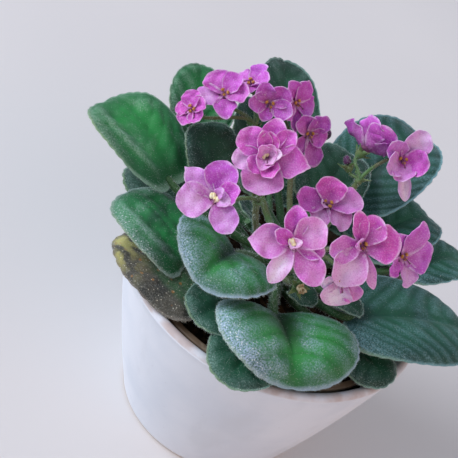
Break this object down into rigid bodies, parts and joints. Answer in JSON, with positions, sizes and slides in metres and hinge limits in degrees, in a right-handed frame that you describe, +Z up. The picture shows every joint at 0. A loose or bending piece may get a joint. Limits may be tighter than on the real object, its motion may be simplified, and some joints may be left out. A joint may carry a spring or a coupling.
{
  "type": "potted african violet",
  "caption": "Low rosette of velvety oval leaves with clusters of small lilac flowers on short stalks, in a tapered white cover pot.",
  "frame": {"origin": "centre of the cover pot's flat base, on the surface it stands on", "axes": "+Z up along the pot's axis; -Y towards the side where the blooms face"},
  "size_m": [0.1989, 0.172, 0.1643],
  "materials": {
    "white_ceramic": "matte",
    "brown_plastic": "matte",
    "peat": "matte",
    "leaf": "matte",
    "old_leaf": "matte",
    "stem": "matte",
    "petal": "matte",
    "bud": "matte",
    "spent": "matte"
  },
  "bodies": {
    "root": {"cover_pot": "white_ceramic", "nursery_pot": "brown_plastic", "soil": "peat", "crown": "stem", "leaf_left_upper": "leaf", "leaf_back_left": "leaf", "leaf_inner_left": "leaf", "leaf_back": "leaf", "leaf_back_right": "leaf", "leaf_right": "leaf", "leaf_right_low": "leaf", "leaf_right_front": "leaf", "leaf_front": "leaf", "leaf_front_upper": "leaf", "leaf_left": "leaf", "leaf_left_low": "old_leaf", "leaf_front_left_low": "leaf", "leaf_front_low": "leaf", "leaf_front_right_low": "leaf", "leaf_left_hidden": "leaf", "leaf_back_left_low": "leaf", "leaf_back_low": "leaf", "leaf_back_right_low": "leaf", "leaf_right_back_low": "leaf", "leaf_back_inner": "leaf", "leaf_centre_back": "leaf", "leaf_centre_front": "leaf", "leaf_heart_front": "leaf", "leaf_heart_right": "leaf", "stalk_left": "stem", "stalk_front": "stem", "stalk_spent": "stem", "stalk_right": "stem", "stalk_back_left": "stem", "stalk_back": "stem", "flower_centre": "petal", "flower_left": "petal", "flower_front": "petal", "flower_front_back": "petal", "flower_front_right": "petal", "flower_front_under": "petal", "flower_right_low": "petal", "flower_right": "petal", "flower_right_back": "petal", "flower_back_left": "petal", "flower_back_large": "petal", "flower_back_top": "petal", "flower_back_throat": "petal", "flower_back_fold": "petal", "flower_back_right": "petal", "bud_back": "bud", "bud_right": "bud", "spent_flower": "spent"}
  },
  "joints": []
}
